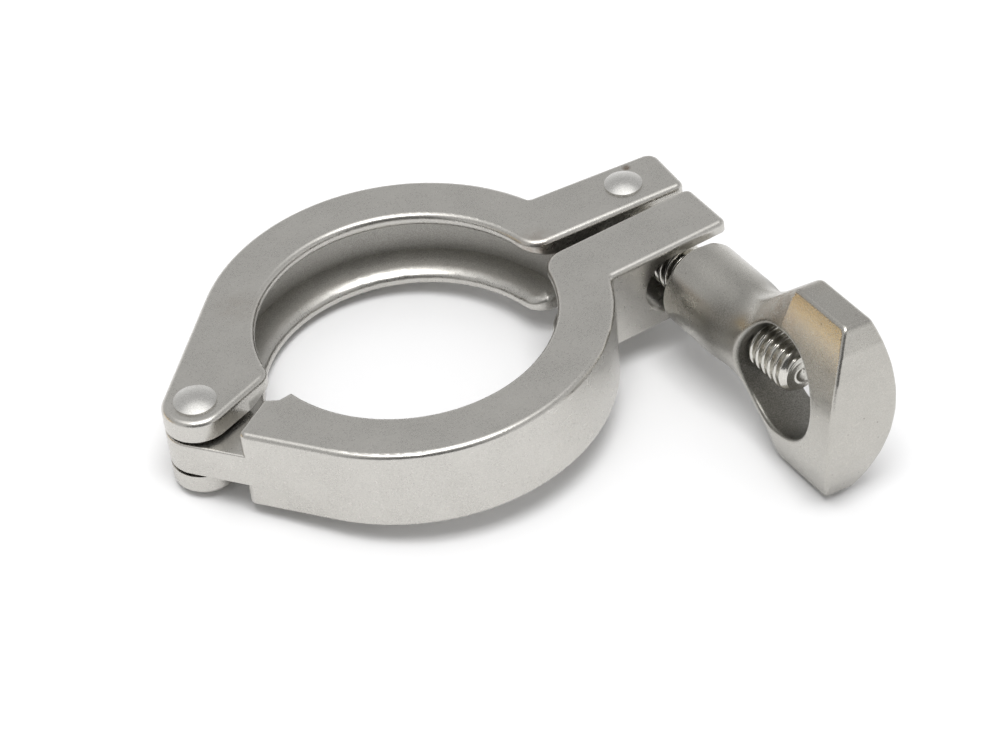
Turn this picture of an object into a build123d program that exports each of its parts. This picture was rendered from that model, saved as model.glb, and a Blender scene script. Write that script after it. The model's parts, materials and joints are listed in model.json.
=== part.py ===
from build123d import *
import math
import os

# Sanitary hinged clamp, millimetres. The origin is the centre of the bore, +Z runs
# along the pipe, the hinge lies at -X, the two arms point to +X and the bolt to -Y.

# ---- driving dimensions ----
BORE_R = 22.25          # bore of the lips round the tube
GROOVE_DEPTH = 4.5      # of the groove that takes the ferrule rims
RING_WALL = 3.85        # behind the groove
HEIGHT = 13.8           # of both castings
LIP = 1.9               # height of a lip at the bore
FLANK = 20.0            # degrees, taper of each groove flank
EDGE = 0.9              # cast edge radius of the jaws
EDGE_SMALL = 0.4        # edge radius of the tongue
LIP_EDGE = 0.5          # broken edge of the lips, on the groove's side

HINGE_OUT = 3.4         # hinge pin axis, outside the ring on the X axis
EAR_R = 5.0             # round end of the hinge ears
EAR_SLOT = 6.8          # gap between the two ears
TONGUE_FOOT_GAP = 0.35  # play under the tongue
TONGUE_HEAD_GAP = 0.75  # play over the tongue
REAR_LOBE_R = 2.7       # round end of the rear jaw at the bore
REAR_LOBE_Y = 1.3
FRONT_LOBE_R = 2.0      # round end of the front jaw at the bore
FRONT_LOBE_IN = 1.4     # its centre, outside the bore
FRONT_LOBE_Y = -6.1
FRONT_END_IN = 1.0      # outer corner of the front jaw, from the hinge pin
FRONT_END_Y = -10.2

TIP_OVER = 7.8          # both arms go on past the bolt pin
ARM_W = 10.1            # width of an arm
ARM_TAPER = 0.4         # the rear arm narrows to its tip by this on each side of ARM_W
REAR_ARM_IN = 2.3       # inner face of the rear arm, from the X axis
FRONT_ARM_IN = 0.6      # inner face of the front arm, at its middle
FRONT_ARM_TURN = 4.0    # degrees, the front arm leans to the rear one
ARM_ROOT_R = 4.0        # corner between bore and arm
NOTCH_R = 0.8           # corner between ring and arm, outside
TIP_OUT_R = 2.0         # corners of the arm tips
TIP_IN_R = 1.2
ARM_MID_BACK = 3.2      # where the front arm's inner face is measured, from the bolt pin
FORK_BACK = 7.6         # bolt axis to the closed end of the front slot
FORK_BEVEL = 0.4        # broken edge of the front slot

BOLT_OUT = 10.6         # bolt pin axis, outside the ring along X
BOLT_Y = 7.4            # the same, from the X axis
BOLT_TURN = 4.9         # degrees, the bolt stands square to the front arm
EYE_R = 5.0             # eye of the bolt
EYE_T = 7.8             # thickness of the eye
BOLT_R = 3.95           # 5/16 in thread over its crests
BOLT_LENGTH = 44.4      # pin axis to the staked end
BOLT_CHAMFER = 0.9

HINGE_PIN_R = 2.5
HINGE_HEAD_LAP = 0.65   # head round its pin
BOLT_PIN_R = 2.4
BOLT_HEAD_LAP = 0.5
HEAD_H = 0.95           # domed rivet heads above the jaws
HEAD_STEP = 0.3         # upright rim of a head

NUT_START = 18.9        # pin axis to the nut's near face
NUT_END = 58.3          # pin axis to the crown of the end face
NUT_TIP_END = 54.8      # the same, at the wing tips
NUT_TIP_START = 43.6
NUT_TURN = 8.0          # degrees, how far the nut stands turned on its thread
BARREL_R = 6.85
BARREL_END = 27.0       # where the barrel starts to flare into the wings
BARREL_SINK = 34.5      # where the last of the barrel sinks into the wings
FLARE_R = 7.0           # hollow of the flare
WING_ROOT_R = 2.5       # corner between flare and wing tip
WING_EDGE = 0.7         # cast edges of the wings
WING_SPAN = 30.5        # tip to tip
WING_TIP_T = 4.6        # thickness at a tip
WING_MID_T = 12.0       # thickness over the axis
WINDOW_R = 8.6          # round window through the nut
WINDOW_AT = 44.4        # window axis from the pin axis

# ---- clearances ----
PIN_PLAY = 0.05         # radial, pins in turning parts
THREAD_PLAY = 0.06      # radial, nut over the thread crests
EYE_PLAY = 0.6          # round the eye in the rear arm
SLOT_PLAY = 0.65        # over and under the bolt in both arms
TONGUE_PLAY = 0.5       # round the tongue between the ears

seat_r = BORE_R + GROOVE_DEPTH
ring_r = seat_r + RING_WALL
hinge_x = -ring_r - HINGE_OUT
bolt_x = ring_r + BOLT_OUT
tip_x = bolt_x + TIP_OVER
arm_mid_x = bolt_x - ARM_MID_BACK
half_h = HEIGHT / 2
groove_half = half_h - LIP
seat_half = groove_half - (seat_r - BORE_R) * math.tan(math.radians(FLANK))
tongue_low = -EAR_SLOT / 2 + TONGUE_FOOT_GAP
tongue_t = EAR_SLOT - TONGUE_FOOT_GAP - TONGUE_HEAD_GAP
bolt_slot = max(EYE_T, 2 * BOLT_R) + 2 * SLOT_PLAY
rear_corner = (-BORE_R - REAR_LOBE_R, REAR_LOBE_Y)
front_corner = (-BORE_R - FRONT_LOBE_IN, FRONT_LOBE_Y)
front_end = (hinge_x + FRONT_END_IN, FRONT_END_Y)
tongue_side = (hinge_x, FRONT_LOBE_Y)
far = 3 * ring_r

# along the bolt from its pin; the sketch's X runs across the bolt, its Y up
bolt_turn = math.radians(BOLT_TURN)
bolt_plane = Plane(
    origin=(bolt_x, BOLT_Y, 0),
    x_dir=(math.cos(bolt_turn), math.sin(bolt_turn), 0),
    z_dir=(math.sin(bolt_turn), -math.cos(bolt_turn), 0),
)
# the nut stands turned on its thread: X through its thickness, Y to the upper wing tip
nut_turn = math.radians(NUT_TURN)
across = bolt_plane.x_dir * math.cos(nut_turn) - Vector(0, 0, 1) * math.sin(nut_turn)
nut_plane = Plane(origin=bolt_plane.origin, x_dir=across, z_dir=bolt_plane.z_dir)
# side view of the nut: X along the bolt, Y to the upper wing tip
nut_side = Plane(origin=bolt_plane.origin, x_dir=bolt_plane.z_dir, z_dir=-across)


# half section of the V groove for the ferrule rims, from inside the bore to the seat
with BuildSketch(Plane.XZ) as groove:
    Polygon(
        (BORE_R / 2, -groove_half), (BORE_R, -groove_half), (seat_r, -seat_half),
        (seat_r, seat_half), (BORE_R, groove_half), (BORE_R / 2, groove_half), align=None,
    )

# ---- outlines shared by the two jaws ----
with BuildSketch() as ring_and_hinge:
    Circle(ring_r)
    with Locations((hinge_x, 0)):
        Circle(EAR_R)
    make_hull()

with BuildSketch() as rear_side:
    Polygon(
        (-far, 0), (hinge_x, 0), rear_corner, (0, REAR_ARM_IN), (far, REAR_ARM_IN),
        (far, far), (-far, far), align=None,
    )

with BuildSketch() as rear_end:
    with Locations((hinge_x, 0)):
        Circle(EAR_R)
    with Locations(rear_corner):
        Circle(REAR_LOBE_R)
    make_hull()

with BuildSketch() as rear_outline:
    add(ring_and_hinge.sketch)
    add(rear_side.sketch, mode=Mode.INTERSECT)
    add(rear_end.sketch)
    Polygon(
        (seat_r, REAR_ARM_IN), (tip_x, REAR_ARM_IN), (tip_x, REAR_ARM_IN + ARM_W - ARM_TAPER),
        (seat_r, REAR_ARM_IN + ARM_W + ARM_TAPER), align=None,
    )
    Circle(BORE_R, mode=Mode.SUBTRACT)

with BuildSketch() as tongue_outline:
    with Locations((hinge_x, 0)):
        Circle(EAR_R)
    with Locations(front_corner):
        Circle(FRONT_LOBE_R)
    make_hull()


def front_arm_point(x, across):
    """A point of the leaning front arm: x along it, across outwards from its inner face."""
    turn = math.radians(FRONT_ARM_TURN)
    inner_y = FRONT_ARM_IN + (x - arm_mid_x) * math.tan(turn)
    return (x + across * math.sin(turn), inner_y - across * math.cos(turn))


with BuildSketch() as front_side:
    Polygon(
        front_corner, front_arm_point(BORE_R / 2, 0), front_arm_point(far, 0), (far, -far),
        (-far, -far), (-far, 0), (hinge_x, 0), align=None,
    )

with BuildSketch() as front_ring_side:
    # the ring stops short of the hinge ears; only the tongue goes on
    with Locations(front_corner):
        Circle(FRONT_LOBE_R)
    Polygon(front_end, (0, -far), (far, -far), (far, 0), (0, 0), align=None)
    make_hull()

with BuildSketch() as front_arm:
    Polygon(
        front_arm_point(seat_r, 0), front_arm_point(tip_x, 0), front_arm_point(tip_x, ARM_W),
        front_arm_point(seat_r, ARM_W), align=None,
    )

with BuildSketch() as front_outline:
    add(ring_and_hinge.sketch)
    add(front_side.sketch, mode=Mode.INTERSECT)
    add(front_ring_side.sketch, mode=Mode.INTERSECT)
    add(front_arm.sketch)
    Circle(BORE_R, mode=Mode.SUBTRACT)

with BuildSketch() as tongue_plan:
    add(ring_and_hinge.sketch)
    Polygon(
        (hinge_x, 0), front_corner, (front_corner[0], -far), (-far, -far), (-far, 0),
        align=None, mode=Mode.INTERSECT,
    )
    add(tongue_outline.sketch)
    Circle(BORE_R, mode=Mode.SUBTRACT)


def near(part, *point):
    """The upright edge of a part that is nearest to a point at mid height."""
    return part.edges().filter_by(Axis.Z).sort_by_distance((*point, 0))[0]


def level(part, z):
    """All edges of a part that lie in the level z."""
    return part.edges().filter_by_position(Axis.Z, z - 0.01, z + 0.01)


def in_level(part, z, *points):
    """The edges of a part in the level z that are nearest to each of the points."""
    return [level(part, z).sort_by_distance((*point, z))[0] for point in points]


# ---- rear jaw: grooved half ring, hinge ears, forked arm ----
with BuildPart() as rear_jaw:
    with BuildSketch(Plane.XY.offset(-half_h)):
        add(rear_outline.sketch)
    extrude(amount=HEIGHT)
    fillet(near(rear_jaw, BORE_R, REAR_ARM_IN), ARM_ROOT_R)
    fillet(near(rear_jaw, tip_x, REAR_ARM_IN + ARM_W), TIP_OUT_R)
    fillet(near(rear_jaw, tip_x, REAR_ARM_IN), TIP_IN_R)
    fillet(near(rear_jaw, ring_r, REAR_ARM_IN + ARM_W), NOTCH_R)
    fillet(level(rear_jaw, half_h) + level(rear_jaw, -half_h), EDGE)
    # the tongue's slot between the ears
    with BuildSketch(Plane.XY.offset(-EAR_SLOT / 2)):
        add(tongue_outline.sketch)
        offset(amount=TONGUE_PLAY)
    extrude(amount=EAR_SLOT, mode=Mode.SUBTRACT)
    # the slot for the bolt's eye, open to the tip
    with BuildSketch(Plane.XY.offset(-bolt_slot / 2)):
        with Locations((bolt_x, BOLT_Y)):
            Circle(EYE_R + EYE_PLAY)
            Rectangle(tip_x, EYE_R + EYE_PLAY, align=(Align.MIN, Align.MIN))
        with Locations((bolt_x - EYE_R - EYE_PLAY, BOLT_Y)):
            Rectangle(tip_x, EYE_R + EYE_PLAY, align=(Align.MIN, Align.MAX))
    extrude(amount=bolt_slot, mode=Mode.SUBTRACT)
    # the groove for the ferrule rims
    add(groove.sketch)
    revolve(axis=Axis.Z, mode=Mode.SUBTRACT)
    for z in (groove_half, -groove_half):
        chamfer(in_level(rear_jaw, z, (0, BORE_R)), LIP_EDGE)
    with Locations((hinge_x, 0, 0)):
        Cylinder(HINGE_PIN_R, HEIGHT, mode=Mode.SUBTRACT)
    with Locations((bolt_x, BOLT_Y, 0)):
        Cylinder(BOLT_PIN_R, HEIGHT, mode=Mode.SUBTRACT)
rear_jaw.part.label = "rear_jaw"

# ---- front jaw: grooved half ring, hinge tongue, forked arm ----
with BuildPart() as front_jaw:
    with BuildSketch(Plane.XY.offset(-half_h)):
        add(front_outline.sketch)
    extrude(amount=HEIGHT)
    fillet(near(front_jaw, *front_arm_point(BORE_R, 0)), ARM_ROOT_R)
    fillet(near(front_jaw, *front_arm_point(tip_x, 0)), TIP_IN_R)
    fillet(near(front_jaw, *front_arm_point(tip_x, ARM_W)), TIP_IN_R)
    fillet(near(front_jaw, *front_arm_point(ring_r, ARM_W)), NOTCH_R)
    fillet(near(front_jaw, *front_end), TIP_IN_R)
    fillet(level(front_jaw, half_h) + level(front_jaw, -half_h), EDGE)
    with BuildSketch(Plane.XY.offset(tongue_low)):
        add(tongue_plan.sketch)
    extrude(amount=tongue_t)
    for z in (tongue_low, tongue_low + tongue_t):
        fillet(in_level(front_jaw, z, (hinge_x - EAR_R, 0), tongue_side), EDGE_SMALL)
    # the slot for the bolt, open to the tip
    with BuildSketch(bolt_plane):
        with Locations((bolt_slot / 2 - FORK_BACK, 0)):
            Circle(bolt_slot / 2)
            Rectangle(tip_x, bolt_slot, align=(Align.MIN, Align.CENTER))
    extrude(amount=NUT_START, mode=Mode.SUBTRACT)
    for z in (bolt_slot / 2, -bolt_slot / 2):
        chamfer(in_level(front_jaw, z, front_arm_point(bolt_x, ARM_W)), FORK_BEVEL)
    add(groove.sketch)
    revolve(axis=Axis.Z, mode=Mode.SUBTRACT)
    for z in (groove_half, -groove_half):
        chamfer(in_level(front_jaw, z, (0, -BORE_R)), LIP_EDGE)
    with Locations((hinge_x, 0, 0)):
        Cylinder(HINGE_PIN_R + PIN_PLAY, HEIGHT, mode=Mode.SUBTRACT)
front_jaw.part.label = "front_jaw"


def rivet(radius, head_r):
    """A rivet along Z with a low domed head closed onto each face of the rear jaw."""
    top = half_h + HEAD_H
    rim = half_h + HEAD_STEP
    with BuildPart() as pin:
        with BuildSketch(Plane.XZ):
            with BuildLine():
                Line((0, 0), (0, top))
                RadiusArc((0, top), (head_r, rim), (head_r ** 2 + (top - rim) ** 2) / 2 / (top - rim))
                Line((head_r, rim), (head_r, half_h))
                Line((head_r, half_h), (radius, half_h))
                Line((radius, half_h), (radius, 0))
                Line((radius, 0), (0, 0))
            make_face()
        revolve(axis=Axis.Z)
        mirror(about=Plane.XY)
    return pin.part


with BuildPart() as hinge_pin:
    with Locations((hinge_x, 0, 0)):
        add(rivet(HINGE_PIN_R, HINGE_PIN_R + HINGE_HEAD_LAP))
hinge_pin.part.label = "hinge_pin"

with BuildPart() as bolt_pin:
    with Locations((bolt_x, BOLT_Y, 0)):
        add(rivet(BOLT_PIN_R, BOLT_PIN_R + BOLT_HEAD_LAP))
bolt_pin.part.label = "bolt_pin"

# ---- eye bolt: a flat-sided eye on the threaded shank ----
with BuildPart() as eye_bolt:
    with Locations((bolt_x, BOLT_Y, 0)):
        Cylinder(EYE_R, EYE_T)
    with BuildSketch(bolt_plane):
        Circle(BOLT_R)
    extrude(amount=BOLT_LENGTH)
    chamfer(eye_bolt.edges().filter_by(GeomType.CIRCLE).sort_by(Axis.Y)[0], BOLT_CHAMFER)
    with Locations((bolt_x, BOLT_Y, 0)):
        Cylinder(BOLT_PIN_R + PIN_PLAY, HEIGHT, mode=Mode.SUBTRACT)
eye_bolt.part.label = "eye_bolt"

# ---- wing nut: barrel, flared wings, round window ----
half_span = WING_SPAN / 2


def corner(sketch, x, y):
    """The corner of a sketch that is nearest to a point of its own plane."""
    return sketch.vertices().sort_by_distance((x, y))[0]


with BuildSketch() as wing_side:
    with BuildLine():
        Polyline(
            (NUT_TIP_END, half_span), (NUT_TIP_START, half_span), (BARREL_END, BARREL_R),
            (NUT_START, BARREL_R), (NUT_START, -BARREL_R), (BARREL_END, -BARREL_R),
            (NUT_TIP_START, -half_span), (NUT_TIP_END, -half_span),
        )
        ThreePointArc((NUT_TIP_END, -half_span), (NUT_END, 0), (NUT_TIP_END, half_span))
    make_face()
    for up in (1, -1):
        fillet(corner(wing_side, BARREL_END, up * BARREL_R), FLARE_R)
        fillet(corner(wing_side, NUT_TIP_START, up * half_span), WING_ROOT_R)
        fillet(corner(wing_side, NUT_TIP_END, up * half_span), WING_EDGE)

with BuildPart() as wing_nut:
    with BuildSketch(nut_side):
        add(wing_side.sketch)
    extrude(amount=WING_MID_T, both=True)
    # the wings are thick over the axis and thin at the tips
    with BuildSketch(nut_plane):
        with BuildLine():
            ThreePointArc((WING_TIP_T / 2, -half_span), (WING_MID_T / 2, 0), (WING_TIP_T / 2, half_span))
            Line((WING_TIP_T / 2, half_span), (-WING_TIP_T / 2, half_span))
            ThreePointArc((-WING_TIP_T / 2, half_span), (-WING_MID_T / 2, 0), (-WING_TIP_T / 2, -half_span))
            Line((-WING_TIP_T / 2, -half_span), (WING_TIP_T / 2, -half_span))
        make_face()
    extrude(amount=2 * NUT_END, mode=Mode.INTERSECT)
    # the barrel sinks into the wings
    with BuildSketch(nut_side):
        with BuildLine():
            Polyline((BARREL_SINK, 0), (NUT_START, 0), (NUT_START, BARREL_R), (BARREL_END, BARREL_R))
            TangentArc((BARREL_END, BARREL_R), (BARREL_SINK, WING_TIP_T), tangent=(1, 0))
            Line((BARREL_SINK, WING_TIP_T), (BARREL_SINK, 0))
        make_face()
    revolve(axis=Axis(bolt_plane.origin, bolt_plane.z_dir))
    with BuildSketch(nut_side):
        with Locations((WINDOW_AT, 0)):
            Circle(WINDOW_R)
    extrude(amount=WING_MID_T, both=True, mode=Mode.SUBTRACT)
    with BuildSketch(nut_plane):
        Circle(BOLT_R + THREAD_PLAY)
    extrude(amount=WINDOW_AT, mode=Mode.SUBTRACT)
wing_nut.part.label = "wing_nut"

os.makedirs("parts", exist_ok=True)
for piece in (rear_jaw, front_jaw, hinge_pin, bolt_pin, eye_bolt, wing_nut):
    export_step(piece.part, f"parts/{piece.part.label}.step")
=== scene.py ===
import json
import math

import bmesh
import bpy
import numpy as np
from mathutils import Matrix, Vector

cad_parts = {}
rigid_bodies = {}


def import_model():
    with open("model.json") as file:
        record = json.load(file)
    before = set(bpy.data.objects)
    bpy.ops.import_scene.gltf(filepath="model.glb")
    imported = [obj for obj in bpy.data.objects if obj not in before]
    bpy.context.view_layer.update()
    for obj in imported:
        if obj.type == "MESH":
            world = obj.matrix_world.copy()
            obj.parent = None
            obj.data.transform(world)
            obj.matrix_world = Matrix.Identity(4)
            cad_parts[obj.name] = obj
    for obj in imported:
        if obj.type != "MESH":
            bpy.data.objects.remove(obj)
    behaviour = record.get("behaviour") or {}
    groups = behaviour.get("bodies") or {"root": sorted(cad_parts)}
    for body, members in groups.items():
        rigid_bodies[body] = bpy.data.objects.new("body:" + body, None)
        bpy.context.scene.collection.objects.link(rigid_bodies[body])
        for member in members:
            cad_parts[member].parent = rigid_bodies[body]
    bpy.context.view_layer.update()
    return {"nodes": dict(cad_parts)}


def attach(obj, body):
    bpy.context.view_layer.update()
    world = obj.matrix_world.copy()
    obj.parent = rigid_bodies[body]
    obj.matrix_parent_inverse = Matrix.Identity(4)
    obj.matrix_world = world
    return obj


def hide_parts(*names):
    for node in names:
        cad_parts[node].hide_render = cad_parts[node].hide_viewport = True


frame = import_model()
nodes = frame["nodes"]

MM = 0.001
WELD = 2e-7                             # metres, points closer than this are one

# ---- sizes of the pieces made here, in millimetres ----
PIN = np.array([41.2, 7.4, 0.0])        # bolt pin axis, where the bolt starts
BOLT_TURN = math.radians(4.9)           # the bolt leans to the front arm's square
NUT_TURN = math.radians(8.0)            # the nut stands turned on its thread

EYE_R, EYE_T, EYE_HOLE_R = 5.0, 7.8, 2.45
EYE_EDGE_R = 0.6
SHANK_START = 4.0                       # inside the eye
CREST_R, ROOT_R, PITCH = 3.95, 3.12, 1.41
BOLT_LENGTH, BOLT_CHAMFER = 44.4, 0.95

NUT_START = 18.9                        # near face of the barrel
BARREL_R, BARREL_END = 6.85, 34.6       # its straight side would meet the flank of a wing there
BARREL_EDGE_R = 0.55
FLARE_R = 9.0                           # hollow between barrel and wing
HALF_SPAN = 15.25
TIP_START, TIP_END, CROWN = 43.6, 54.8, 58.3
TIP_R, TIP_ROOT_R = 1.1, 2.4            # corners of a wing tip, at the crown and at the flank
CROWN_POINTS, CROWN_BLEND_R = 9, 4.0    # the crowned end is an arc through these points
TIP_T, MID_T = 2.3, 6.0                 # half thickness of the wings, at a tip and over the axis
WAIST_AT, WAIST_DEPTH = 32.5, 0.45      # hollow of the cheeks between barrel and window
WINDOW_AT, WINDOW_R, RIM_R = 44.4, 8.6, 0.85
WING_EDGE_R = 0.5

bolt_dir = np.array([math.sin(BOLT_TURN), -math.cos(BOLT_TURN), 0.0])
bolt_side = np.array([math.cos(BOLT_TURN), math.sin(BOLT_TURN), 0.0])
up = np.array([0.0, 0.0, 1.0])
nut_across = bolt_side * math.cos(NUT_TURN) - up * math.sin(NUT_TURN)
nut_up = up * math.cos(NUT_TURN) + bolt_side * math.sin(NUT_TURN)


# ---- meshes ----
def link(name, data):
    """A new object at the origin, in the scene."""
    thing = bpy.data.objects.new(name, data)
    bpy.context.scene.collection.objects.link(thing)
    return thing


def declare(piece, body, stands_for):
    """The body that a piece rides on, and the CAD node that it replaces, which is hidden."""
    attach(piece, body)
    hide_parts(stands_for)


def weld(mesh):
    """Joins the points that lie on each other and turns all faces outwards."""
    work = bmesh.new()
    work.from_mesh(mesh)
    bmesh.ops.remove_doubles(work, verts=work.verts, dist=WELD)
    bmesh.ops.recalc_face_normals(work, faces=work.faces)
    work.to_mesh(mesh)
    work.free()


def new_piece(name, points, faces, material, body, stands_for, hollow=None):
    """A smooth-shaded piece from points in millimetres and quads, with its poles and seams welded; hollow
    is a number for each point, kept as an attribute for the finish, which paints shade there."""
    mesh = bpy.data.meshes.new(name)
    mesh.from_pydata((points * MM).tolist(), [], faces.tolist())
    mesh.polygons.foreach_set("use_smooth", np.ones(len(faces), bool))
    mesh.materials.append(material)
    mesh.update()
    if hollow is not None:
        mesh.attributes.new("hollow", "FLOAT", "POINT").data.foreach_set("value", hollow.astype(np.float32))
    weld(mesh)
    declare(link(name, mesh), body, stands_for)


def grid_faces(rows, columns, rows_closed=False):
    """Quads of a grid of rows x columns points: each joins a point to the next in both directions, and
    the last column to the first."""
    r = np.arange(rows if rows_closed else rows - 1)
    r, c = [m.ravel() for m in np.meshgrid(r, np.arange(columns), indexing="ij")]
    r2, c2 = (r + 1) % rows, (c + 1) % columns
    return np.stack([r * columns + c, r * columns + c2, r2 * columns + c2, r2 * columns + c], axis=1)


def along_bolt(s, across, upward, side=bolt_side, rise=up):
    """Points from the pin: s along the bolt, then across and upward in the axes that are given."""
    points = PIN + s[..., None] * bolt_dir + across[..., None] * side + upward[..., None] * rise
    return points.reshape(-1, 3)


def merged_copy(node, name, body, material):
    """A CAD node's own mesh with its loose triangles joined; edges that turn by less than 40 degrees are
    shaded smooth, and large faces keep their flat shading."""
    mesh = nodes[node].data.copy()
    work = bmesh.new()
    work.from_mesh(mesh)
    bmesh.ops.remove_doubles(work, verts=work.verts, dist=WELD)
    bmesh.ops.dissolve_degenerate(work, edges=work.edges, dist=WELD / 2)
    for face in work.faces:
        face.smooth = True
    for edge in work.edges:
        edge.smooth = edge.calc_face_angle(0.0) < math.radians(40.0)
    work.to_mesh(mesh)
    work.free()
    mesh.materials.clear()
    mesh.materials.append(material)
    piece = link(name, mesh)
    weighted = piece.modifiers.new("even_shading", "WEIGHTED_NORMAL")
    weighted.keep_sharp = True
    weighted.weight = 100
    declare(piece, body, node)


# ---- shader maths as expressions ----
class Value:
    """A shader socket that takes part in Python expressions and adds its Math nodes."""

    def __init__(self, tree, socket):
        self.tree = tree
        self.socket = socket

    def maths(self, operation, *others, flipped=False, clamp=False):
        """One Math node of this value and the others; flipped puts this value last."""
        node = self.tree.nodes.new("ShaderNodeMath")
        node.operation = operation
        node.use_clamp = clamp
        terms = [*others, self] if flipped else [self, *others]
        for socket, term in zip(node.inputs, terms):
            if isinstance(term, Value):
                self.tree.links.new(term.socket, socket)
            else:
                socket.default_value = term
        return Value(self.tree, node.outputs[0])

    def __add__(self, other):
        return self.maths("ADD", other)

    def __radd__(self, other):
        return self.maths("ADD", other)

    def __sub__(self, other):
        return self.maths("SUBTRACT", other)

    def __rsub__(self, other):
        return self.maths("SUBTRACT", other, flipped=True)

    def __mul__(self, other):
        return self.maths("MULTIPLY", other)

    def __rmul__(self, other):
        return self.maths("MULTIPLY", other)

    def __pow__(self, other):
        return self.maths("POWER", other)

    def above(self, low, high):
        """0 under low, 1 over high, even in between; low may be the larger one."""
        return self.maths("SUBTRACT", low).maths("MULTIPLY", 1.0 / (high - low), clamp=True)

    def other(self, output):
        """Another output of the same node."""
        return Value(self.tree, self.socket.node.outputs[output])


class Shading:
    """A node tree, and the one way in which nodes are added to it."""

    def __init__(self, tree):
        self.tree = tree

    def node(self, kind, settings=None, inputs=None, output=0):
        """One node: its settings first, then the values or links of its sockets."""
        node = self.tree.nodes.new(kind)
        for key, value in (settings or {}).items():
            setattr(node, key, value)
        for key, value in (inputs or {}).items():
            self.join(value, node.inputs[key])
        return Value(self.tree, node.outputs[output])

    def join(self, value, socket):
        """Links a value to a socket, or sets the socket to a number or a colour."""
        if isinstance(value, Value):
            self.tree.links.new(value.socket, socket)
        elif socket.type == "RGBA":
            socket.default_value = (*value, 1.0)
        else:
            socket.default_value = value

    def mix(self, factor, first, second):
        """A colour between two, by a factor."""
        colours = {0: factor, 6: first, 7: second}
        return self.node("ShaderNodeMix", {"data_type": "RGBA"}, colours, 2)


class Finish(Shading):
    """A material, its node tree and its Principled shader."""

    def __init__(self, name, metallic, roughness, colour):
        self.material = bpy.data.materials.new(name)
        self.material.use_nodes = True
        super().__init__(self.material.node_tree)
        self.shader = self.tree.nodes["Principled BSDF"]
        self.shader.inputs["Metallic"].default_value = metallic
        self.shader.inputs["Roughness"].default_value = roughness
        self.shader.inputs["Base Color"].default_value = (*colour, 1.0)
        self.material.diffuse_color = (*colour, 1.0)

    def place(self):
        """A point of the piece in its own coordinates, in metres."""
        return self.node("ShaderNodeTexCoord", output="Object")

    def noise(self, size_mm, detail, rough, stretch=None, turn=(0.0, 0.0, 0.0)):
        """Noise whose lumps are about size_mm wide, stretched along the axes by a factor each."""
        where = self.place()
        if stretch:
            mapping = {"Vector": where, "Rotation": turn, "Scale": stretch}
            where = self.node("ShaderNodeMapping", {"vector_type": "TEXTURE"}, mapping)
        lumps = {"Vector": where, "Scale": 1.0 / (size_mm * MM), "Detail": detail, "Roughness": rough}
        return self.node("ShaderNodeTexNoise", {"noise_dimensions": "3D"}, lumps)

    def cells(self, size_mm, shift):
        """Distance to scattered points about size_mm apart, for pits and dents."""
        where = self.node("ShaderNodeMapping", {}, {"Vector": self.place(), "Location": shift})
        return self.node("ShaderNodeTexVoronoi", {}, {"Vector": where, "Scale": 1.0 / (size_mm * MM)})

    def spot(self, centre_mm, radius_mm, soft_mm):
        """1 inside a ball round a point, 0 outside, soft in between."""
        ends = {0: self.place(), 1: [c * MM for c in centre_mm]}
        away = self.node("ShaderNodeVectorMath", {"operation": "DISTANCE"}, ends, "Value")
        return away.above((radius_mm + soft_mm) * MM, radius_mm * MM)

    def feed(self, socket, value):
        """Links a value to a socket of the shader."""
        self.join(value, self.shader.inputs[socket])


# ---- finishes ----
PIT_SIZE = 2.3                          # mm between pits
PIT_COLOUR = (0.10, 0.085, 0.07)
HOLLOW_SHADE_COLOUR = (0.15, 0.145, 0.13)       # painted shade for the hollows: the ferrule groove, the nut's window and its waist


def toned(colour, factor):
    """A colour made darker or lighter by a factor."""
    return tuple(min(c * factor, 0.95) for c in colour)


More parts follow.
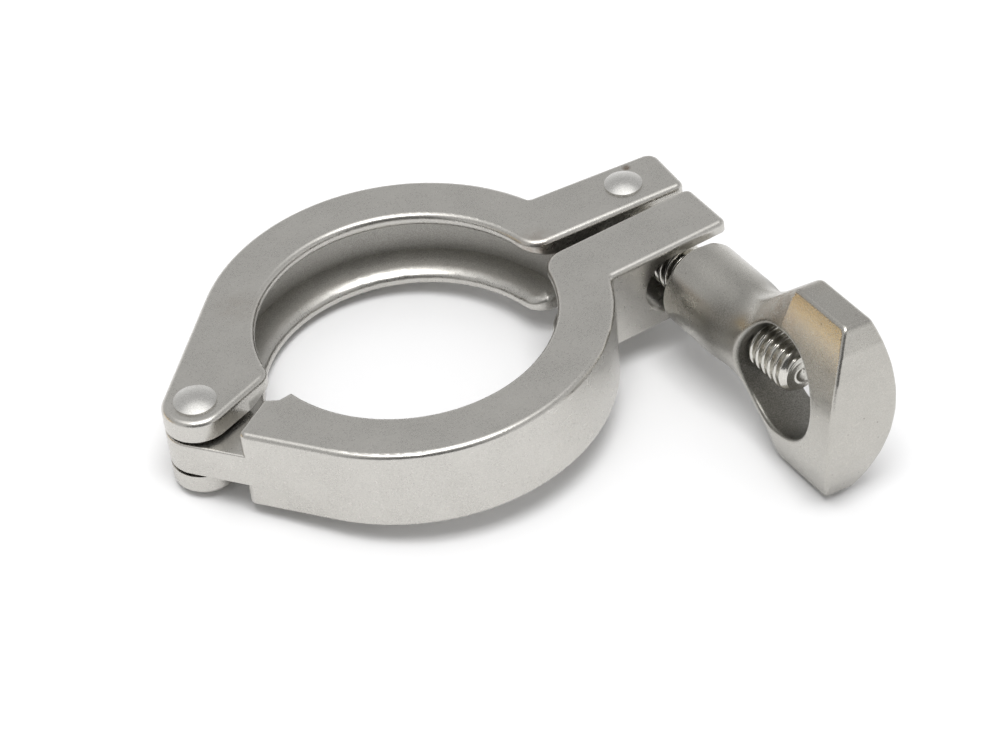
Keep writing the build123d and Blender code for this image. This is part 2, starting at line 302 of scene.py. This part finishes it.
def steel(name, colour, grain_mm, roughness, pits, seed, stains_and_reflections=(), hollow=None):
    """Stainless steel with a tumbled satin: fine and coarse grain as bumps, soft cloudy tone, bright
    specks, long scratches, sparse pits and ragged brown patches: discolouring, and painted reflections
    where they are given. Where hollow gives 1, the colour is darkened as painted shade, less where specks
    show, and the surface is rougher and bumpier."""
    finish = Finish(name, 1.0, roughness, colour)
    clouds = finish.noise(7.0, detail=3.0, rough=0.55, stretch=(1.0, 1.0, 1.0 + 0.01 * seed))
    fine = finish.noise(0.32, detail=3.0, rough=0.65)
    coarse = finish.noise(1.1, detail=3.0, rough=0.6)
    speck = finish.noise(0.16, detail=1.0, rough=0.5)
    pit = finish.cells(PIT_SIZE, shift=(0.011 * seed, 0.017 * seed, 0.0)).above(0.075, 0.03) * pits
    along = finish.noise(0.5, detail=1.0, rough=0.5, stretch=(1.0, 9.0, 1.0), turn=(0.0, 0.0, 0.7 + seed))
    across = finish.noise(0.5, detail=1.0, rough=0.5, stretch=(10.0, 1.0, 2.0), turn=(0.0, 0.2, 0.3 + seed))
    scratches = along.above(0.68, 0.74) + across.above(0.70, 0.76)

    tone = finish.mix(clouds.above(0.3, 0.72), toned(colour, 0.9), colour)
    tone = finish.mix(speck.above(0.42, 0.68) * 0.5, tone, toned(colour, 1.16))
    tone = finish.mix(fine.above(0.52, 0.32) * 0.22, tone, toned(colour, 0.66))
    tone = finish.mix(scratches * 0.3, tone, toned(colour, 1.16))
    tone = finish.mix(pit * 0.75, tone, PIT_COLOUR)
    # brown patches: discolouring, and where given a painted reflection
    for centre, radius, soft, patch_colour, amount in stains_and_reflections:
        ragged = finish.noise(1.2, detail=3.0, rough=0.6).above(0.3, 0.62)
        tone = finish.mix(finish.spot(centre, radius, soft) * ragged * amount, tone, patch_colour)
    rough = roughness - 0.07 + clouds * 0.06 + fine * 0.12 - scratches * 0.05
    height = fine * 0.6 + coarse * 0.55 + speck * 0.22 - pit * 0.9 - scratches * 0.12
    if hollow:
        deep = hollow(finish)
        # painted shade: the hollows are darkened towards a dark grey, less where specks show; they are also
        # rougher and bumpier
        shade_specks = speck.above(0.35, 0.62)
        tone = finish.mix(deep * (0.95 - shade_specks * 0.3), tone, HOLLOW_SHADE_COLOUR)
        rough = rough + deep * 0.16
        height = height + deep * speck * 1.6

    finish.feed("Base Color", tone)
    finish.feed("Roughness", rough)
    finish.feed("Normal", finish.node("ShaderNodeBump", {}, {"Height": height, "Distance": grain_mm * MM}))
    return finish.material


def groove_floor(finish):
    """Mask of the painted shade in the ferrule groove: 0 at the lips, rising towards the floor of the
    groove with the distance from the bore axis, and 0 again above and below the groove and outside the
    ring."""
    x = finish.node("ShaderNodeSeparateXYZ", {}, {"Vector": finish.place()}, "X")
    y, z = x.other("Y"), x.other("Z")
    radius = (x * x + y * y) ** 0.5
    inside = radius.above(22.9 * MM, 25.2 * MM) * radius.above(27.2 * MM, 26.9 * MM)
    return inside * z.above(-5.2 * MM, -4.6 * MM) * z.above(5.2 * MM, 4.6 * MM) * 0.62


def window_and_waist(finish):
    """The nut's own attribute, 1 where its casting is hollow: the mask of painted shade on the window's
    wall and at the waist.
    """
    return finish.node("ShaderNodeAttribute", {"attribute_name": "hollow"}, output="Fac")


# a patch is its centre, its radius and its soft edge in mm, its colour and its strength; on the jaws the
# patches are stains, on the nut a painted reflection
jaw_steel = steel(
    "tumbled_jaw_steel", (0.58, 0.565, 0.532), grain_mm=0.013, roughness=0.27, pits=0.15, seed=1,
    stains_and_reflections=(
        ((43.6, 10.6, 6.9), 0.35, 0.5, (0.16, 0.10, 0.06), 0.8),
        ((23.5, 3.0, 3.5), 2.2, 3.0, (0.22, 0.15, 0.10), 0.5),
        ((-20.0, 15.0, 2.0), 2.5, 4.0, (0.30, 0.20, 0.12), 0.3),
    ),
    hollow=groove_floor,
)
rivet_steel = steel(
    "drawn_rivet_steel", (0.68, 0.67, 0.645), grain_mm=0.008, roughness=0.22, pits=0.3, seed=2,
)
nut_steel = steel(
    "cast_nut_steel", (0.50, 0.485, 0.45), grain_mm=0.012, roughness=0.24, pits=0.8, seed=3,
    # painted reflection: a soft brown tint on the upper rim of the window
    stains_and_reflections=(((46.0, -35.0, 9.0), 3.5, 4.0, (0.34, 0.24, 0.17), 0.35),),
    hollow=window_and_waist,
)
bolt_steel = steel(
    "rolled_bolt_steel", (0.66, 0.645, 0.60), grain_mm=0.005, roughness=0.15, pits=0.2, seed=4,
)

# ---- the two jaws and the rivets keep the shape of their CAD nodes ----
merged_copy("rear_jaw", "rear_jaw_casting", "rear_half", jaw_steel)
merged_copy("front_jaw", "front_jaw_casting", "front_half", jaw_steel)
merged_copy("hinge_pin", "hinge_rivet", "rear_half", rivet_steel)
merged_copy("bolt_pin", "bolt_rivet", "rear_half", rivet_steel)


# ---- eye bolt: a turned eye and a rolled thread with a staked end ----
def smooth_step(x):
    """3 x squared less 2 x cubed, between 0 and 1."""
    x = np.clip(x, 0, 1)
    return x * x * (3 - 2 * x)


def eye_of_bolt():
    """A rounded rectangle, from hole to outside and over the thickness, turned round the pin axis."""
    steps = 6
    quarter = np.linspace(0.0, np.pi / 2, steps)
    middle = (EYE_R + EYE_HOLE_R) / 2
    half_wall = (EYE_R - EYE_HOLE_R) / 2 - EYE_EDGE_R
    half_t = EYE_T / 2 - EYE_EDGE_R
    turns = np.concatenate([quarter + k * np.pi / 2 for k in range(4)])
    outward = np.repeat([1, -1, -1, 1], steps)
    upward = np.repeat([1, 1, -1, -1], steps)
    r = middle + outward * half_wall + EYE_EDGE_R * np.cos(turns)
    z = upward * half_t + EYE_EDGE_R * np.sin(turns)
    angle = np.linspace(0.0, 2 * np.pi, 96, endpoint=False)[:, None]
    x = PIN[0] + r * np.cos(angle)
    y = PIN[1] + r * np.sin(angle)
    points = np.stack([x, y, np.broadcast_to(z, x.shape)], axis=-1).reshape(-1, 3)
    return points, grid_faces(len(angle), len(r), rows_closed=True)[:, ::-1]


def threaded_shank():
    """Round the bolt by an angle and along it by s: the radius runs from root to crest once per pitch,
    shifted by the angle, with flats at both, and ends in a chamfer and the staked end face."""
    columns = 96
    s = np.arange(SHANK_START, BOLT_LENGTH, PITCH / 14)
    angle = np.linspace(0.0, 2 * np.pi, columns, endpoint=False)
    s_grid, a_grid = np.meshgrid(s, angle, indexing="ij")
    phase = (s_grid / PITCH - a_grid / (2 * np.pi)) % 1.0
    ridge = smooth_step((0.5 - np.abs(phase - 0.5)) * 2 * 1.55 - 0.26)
    chamfer = CREST_R - np.clip(s_grid - (BOLT_LENGTH - BOLT_CHAMFER), 0, None) * 0.95
    radius = np.minimum(ROOT_R + (CREST_R - ROOT_R) * ridge, chamfer)
    end_s, end_r, end_a = staked_end(angle, float(chamfer[-1, 0]) - 0.06)
    s_all = np.concatenate([s_grid, end_s])
    r_all = np.concatenate([radius, end_r])
    a_all = np.concatenate([a_grid, end_a])
    points = along_bolt(s_all, r_all * np.cos(a_all), r_all * np.sin(a_all))
    return points, grid_faces(len(s_all), columns)


def staked_end(angle, edge):
    """End face from its edge to the middle: it dips as the square root of the way inwards, and a curved
    furrow, a high power of the sine of the angle less the radius, winds round the middle."""
    inner = np.linspace(1.0, 0.0, 26) ** 0.9
    r = (edge * inner)[:, None] * np.ones(len(angle))
    a = np.broadcast_to(angle, r.shape)
    furrow = np.sin(a - 1.9 * r + 0.6) ** 8 * np.clip(r / edge, 0, 1) * np.clip(2.4 - r, 0, 1)
    dip = 0.088 * np.clip(1 - r / edge, 0, 1) ** 0.5
    return BOLT_LENGTH + 0.02 - 0.16 * furrow - dip, r, a


eye_points, eye_faces = eye_of_bolt()
shank_points, shank_faces = threaded_shank()
new_piece(
    "threaded_eye_bolt",
    np.concatenate([eye_points, shank_points]),
    np.concatenate([eye_faces, shank_faces + len(eye_points)]),
    bolt_steel, "bolt", "eye_bolt",
)


# ---- wing nut: a grid that runs round its outline and, at each place, over the nut's two cheeks ----
def rounded_outline(corners, radii, step):
    """A closed outline of straight runs and corner arcs, as evenly spaced points; an arc's centre lies on
    the bisector of its corner, and its ends are where the runs touch it."""
    corners = np.array(corners, float)
    runs = []
    for i, p in enumerate(corners):
        before, after = corners[i - 1], corners[(i + 1) % len(corners)]
        u = (before - p) / np.linalg.norm(before - p)
        v = (after - p) / np.linalg.norm(after - p)
        half = math.acos(float(np.clip(u @ v, -1, 1))) / 2
        reach = radii[i] / math.tan(half)
        centre = p + (u + v) / np.linalg.norm(u + v) * radii[i] / math.sin(half)
        a, b = p + u * reach - centre, p + v * reach - centre
        sweep = math.atan2(a[0] * b[1] - a[1] * b[0], float(a @ b))
        t = np.linspace(0, sweep, 24)[:, None]
        runs.append(centre + a * np.cos(t) + np.array([-a[1], a[0]]) * np.sin(t))
    path = np.concatenate([*runs, runs[0][:1]])
    length = np.concatenate([[0], np.cumsum(np.linalg.norm(np.diff(path, axis=0), axis=1))])
    even = np.linspace(0, length[-1], int(length[-1] / step), endpoint=False)
    return np.stack([np.interp(even, length, path[:, k]) for k in (0, 1)], axis=1)


def nut_outline():
    """Side outline of the nut, seen across it: barrel, hollow flares, wing tips and the crowned end."""
    crown_r = (HALF_SPAN ** 2 + (CROWN - TIP_END) ** 2) / (2 * (CROWN - TIP_END))
    a = np.linspace(-1, 1, CROWN_POINTS) * math.asin(HALF_SPAN / crown_r)
    crown = list(zip(CROWN - crown_r * (1 - np.cos(a)), crown_r * np.sin(a)))
    upper = [(TIP_START, HALF_SPAN), (BARREL_END, BARREL_R), (NUT_START, BARREL_R)]
    lower = [(s, -w) for s, w in reversed(upper)]
    crown_radii = [TIP_R] + [CROWN_BLEND_R] * (CROWN_POINTS - 2) + [TIP_R]
    side_radii = [TIP_ROOT_R, FLARE_R, BARREL_EDGE_R]
    return rounded_outline(crown + upper + lower, crown_radii + side_radii + side_radii[::-1], 0.24)


def distance_to_outline(points, outline):
    """Distance of each point to the nearest run of the outline, taken in blocks of runs."""
    run = np.roll(outline, -1, axis=0) - outline
    nearest = np.full(points.shape[:2], np.inf)
    for k in range(0, len(outline), 64):
        block = run[k:k + 64]
        rel = points[:, :, None, :] - outline[None, None, k:k + 64]
        t = np.clip((rel * block).sum(-1) / (block ** 2).sum(-1), 0, 1)
        nearest = np.minimum(nearest, np.linalg.norm(rel - t[..., None] * block, axis=-1).min(-1))
    return nearest


def fall(distance, radius):
    """How far a quarter-round edge drops at a distance from the edge."""
    inside = np.clip(distance, 0, radius)
    return radius - np.sqrt(np.maximum(radius ** 2 - (radius - inside) ** 2, 0))


def outline_half_width(outline, s):
    """Half width of the outline at a place along the bolt, over the barrel's end and the flare."""
    upper = outline[(outline[:, 0] < TIP_END - 1.2) & (outline[:, 1] > BARREL_R - 0.6)]
    upper = upper[np.argsort(upper[:, 0])]
    return np.where(s > TIP_START, HALF_SPAN, np.interp(s, upper[:, 0], upper[:, 1]))


def nut_half_thickness(s, w, half_width, to_outline, to_window):
    """Half thickness of the nut at a point of its side view: a round barrel that passes into wings, thick
    over the axis and thin along the outline by the square of the way out, less a shallow hollow at the
    waist and the quarter-round edges along the outline, at the near face and round the window."""
    wings = TIP_T + (MID_T - TIP_T) * (1 - np.clip(np.abs(w) / half_width, 0, 1) ** 2)
    wings = wings - WAIST_DEPTH * np.exp(-((s - WAIST_AT) / 3.2) ** 2 - (w / 9.0) ** 2)
    barrel = np.sqrt(np.maximum(BARREL_R ** 2 - (w * np.minimum(BARREL_R / half_width, 1.0)) ** 2, 0.0))
    wing = smooth_step((s - (BARREL_END - 6.0)) / 8.5)
    thick = barrel * (1 - wing) + wings * wing
    thick = thick - fall(to_outline, WING_EDGE_R) * wing
    thick = thick - fall(s - NUT_START, BARREL_EDGE_R) * (1 - wing)
    return np.maximum(thick - fall(to_window, RIM_R), 0.0)


def cheek_grid(outline):
    """Points of the side view, from the window's rim to the outline: close together at both by a cosine
    over the rim and a sine over the cheek."""
    centre = np.array([WINDOW_AT, 0.0])
    direction = (outline - centre) / np.linalg.norm(outline - centre, axis=1, keepdims=True)
    rim = centre + direction * WINDOW_R
    reach = np.linalg.norm(outline - rim, axis=1)[:, None]
    over_rim = RIM_R * (1 - np.cos(np.linspace(0, np.pi / 2, 8)))[None, :]
    over_cheek = RIM_R + (reach - RIM_R) * np.sin(np.linspace(0, np.pi / 2, 46)[1:])[None, :]
    steps = np.concatenate([np.broadcast_to(over_rim, (len(rim), 8)), over_cheek], axis=1)
    return rim[:, None, :] + direction[:, None, :] * steps[..., None]


def wing_nut():
    """Two parameters: round the nut's outline, and round its section from the window's wall over the rim,
    the cheek and the edge to the outline's wall, and back on the other cheek. The third array is 1 where
    the casting is hollow, on the window's wall and softly at the waist: the mask of painted shade there."""
    outline = nut_outline()
    flat = cheek_grid(outline)
    s, w = flat[..., 0], flat[..., 1]
    to_window = np.hypot(s - WINDOW_AT, w) - WINDOW_R
    half_width = outline_half_width(outline, s)
    thick = nut_half_thickness(s, w, half_width, distance_to_outline(flat, outline), to_window)
    # the two walls rise from the middle plane to the cheek's first and last column
    wall_in = np.linspace(0, 1, 14)[:-1]
    wall_out = np.linspace(1, 0, 9)[1:]
    walls = ((0, 0), (len(wall_in), len(wall_out)))
    s = np.pad(s, walls, "edge")
    w = np.pad(w, walls, "edge")
    height = np.concatenate([thick[:, :1] * wall_in, thick, thick[:, -1:] * wall_out], axis=1)
    # the other cheek, without repeating the two columns in the middle plane
    back = slice(-2, 0, -1)
    s = np.concatenate([s, s[:, back]], axis=1)
    w = np.concatenate([w, w[:, back]], axis=1)
    height = np.concatenate([height, -height[:, back]], axis=1)
    points = along_bolt(s, height, w, nut_across, nut_up)
    wall = 1 - smooth_step((np.hypot(s - WINDOW_AT, w) - WINDOW_R - 0.05) / 0.5)
    waist = 0.8 * np.exp(-((s - 31.2) / 3.4) ** 2) * smooth_step((8.2 - np.abs(w)) / 4.0)
    return points, grid_faces(*s.shape, rows_closed=True), np.clip(np.maximum(wall, waist), 0, 1).ravel()


nut_points, nut_faces, nut_hollow = wing_nut()
new_piece("cast_wing_nut", nut_points, nut_faces, nut_steel, "nut", "wing_nut", nut_hollow)


# ---- floor: the clamp lies on its ring and the lower wing tip, so the floor leans against the bore ----
LEAN = math.radians(5.25)
LEAN_TO = math.radians(132.2)           # bearing that the clamp leans to, from X
FLOOR_HALF = 2.5                        # metres


def lowest_along(normal):
    """Height of the lowest point of the visible pieces along a direction."""
    heights = []
    for piece in bpy.data.objects:
        if piece.type == "MESH" and not piece.hide_render and piece.name not in nodes:
            points = np.empty(len(piece.data.vertices) * 3, np.float32)
            piece.data.vertices.foreach_get("co", points)
            heights.append(float((points.reshape(-1, 3) @ np.array(normal)).min()))
    return min(heights)


def stage_floor():
    """A flat sheet under the clamp's leaning rest; from below it can be seen through."""
    flat = math.sin(LEAN)
    normal = Vector((-math.cos(LEAN_TO) * flat, -math.sin(LEAN_TO) * flat, math.cos(LEAN)))
    drop = normal * lowest_along(normal)
    turn = Vector((0, 0, 1)).rotation_difference(normal).to_matrix()
    square = ((-1, -1), (1, -1), (1, 1), (-1, 1))
    corners = [turn @ Vector((x * FLOOR_HALF, y * FLOOR_HALF, 0)) + drop for x, y in square]
    mesh = bpy.data.meshes.new("floor")
    mesh.from_pydata([tuple(c) for c in corners], [], [(0, 1, 2, 3)])
    paint = Finish("floor_white", 0.0, 0.9, (0.93, 0.93, 0.935))
    paint.shader.inputs["Specular IOR Level"].default_value = 0.0
    behind = paint.node("ShaderNodeNewGeometry", output="Backfacing")
    painted = Value(paint.tree, paint.shader.outputs[0])
    clear = paint.node("ShaderNodeBsdfTransparent")
    both = paint.node("ShaderNodeMixShader", {}, {0: behind, 1: painted, 2: clear})
    paint.join(both, paint.tree.nodes["Material Output"].inputs["Surface"])
    mesh.materials.append(paint.material)
    link("floor", mesh)


stage_floor()

# ---- camera: its bearing, height and roll in degrees, and its place in metres ----
BEARING, HEIGHT, ROLL = -24.3317, 41.8303, -6.5975
CAMERA_PLACE = (-0.1454993, -0.3525952, 0.3338452)


def camera_axes():
    """Right, up and back of the camera as the columns of a turn."""
    a, e, r = (math.radians(v) for v in (BEARING, HEIGHT, ROLL))
    back = Vector((math.sin(a) * math.cos(e), -math.cos(a) * math.cos(e), math.sin(e)))
    level = Vector((math.cos(a), math.sin(a), 0.0))
    steep = back.cross(level)
    right = level * math.cos(r) + steep * math.sin(r)
    upward = steep * math.cos(r) - level * math.sin(r)
    return Matrix((right, upward, back)).transposed().to_4x4()


camera_data = bpy.data.cameras.new("camera")
camera_data.sensor_width = 36.0
camera_data.lens = 123.97
camera_data.clip_end = 20.0
camera = link("camera", camera_data)
camera.matrix_world = Matrix.Translation(CAMERA_PLACE) @ camera_axes()
bpy.context.scene.camera = camera


# ---- light: a pale tent with a greyer roof, a soft box above and a small warm card at the back left ----
def soft_box(name, place, aim, size, power, colour):
    """A square lamp at a place, turned to its aim, that the camera doesn't see."""
    data = bpy.data.lights.new(name, "AREA")
    data.shape = "RECTANGLE"
    data.size, data.size_y = size
    data.energy = power
    data.color = colour
    lamp = link(name, data)
    lamp.visible_camera = False
    aim_line = Vector(aim) - Vector(place)
    lamp.matrix_world = Matrix.Translation(place) @ aim_line.to_track_quat("-Z", "Y").to_matrix().to_4x4()


soft_box("roof_box", (-0.05, -0.32, 1.05), (0.0, 0.0, 0.0), (0.6, 0.45), 6.5, (1.0, 1.0, 1.0))
soft_box("warm_card", (-0.62, 0.40, 0.085), (0.0, 0.0, 0.02), (0.40, 0.055), 0.10, (1.0, 0.60, 0.03))

world = bpy.data.worlds.new("tent")
bpy.context.scene.world = world
world.use_nodes = True
tent = Shading(world.node_tree)
line_of_sight = tent.node("ShaderNodeTexCoord", output="Generated")


def towards(x, y, z):
    """How far a line of sight turns to a direction: 1 straight to it, -1 away from it."""
    lines = {0: line_of_sight, 1: (x, y, z)}
    return tent.node("ShaderNodeVectorMath", {"operation": "DOT_PRODUCT"}, lines, "Value")


# pale walls, a greyer roof with a bright middle, a dark opening at the front, a brown corner at the left
height = towards(0.0, 0.0, 1.0)
brightness = 0.92 - height.above(0.02, 0.55) * 0.36 + height.above(0.80, 0.96) * 0.85
opening = towards(-0.412, -0.911, 0.0).above(0.66, 0.88) * height.above(0.88, 0.70)
brightness = brightness * (1 - opening * 0.86)
corner = towards(-0.845, 0.53, 0.08).above(0.86, 0.95) * height.above(0.45, 0.25)
sky = Value(tent.tree, tent.tree.nodes["Background"].outputs[0])
tent.join(brightness, sky.socket.node.inputs["Strength"])
tent.join(tent.mix(corner, (1.0, 1.0, 1.0), (0.42, 0.34, 0.25)), sky.socket.node.inputs["Color"])
# the camera itself sees a plain pale backdrop
backdrop = tent.node("ShaderNodeBackground", {}, {"Color": (0.95, 0.95, 0.955)})
seen = tent.node("ShaderNodeLightPath", output="Is Camera Ray")
both = tent.node("ShaderNodeMixShader", {}, {0: seen, 1: sky, 2: backdrop})
tent.join(both, tent.tree.nodes["World Output"].inputs["Surface"])

bpy.context.scene.view_settings.view_transform = "Standard"
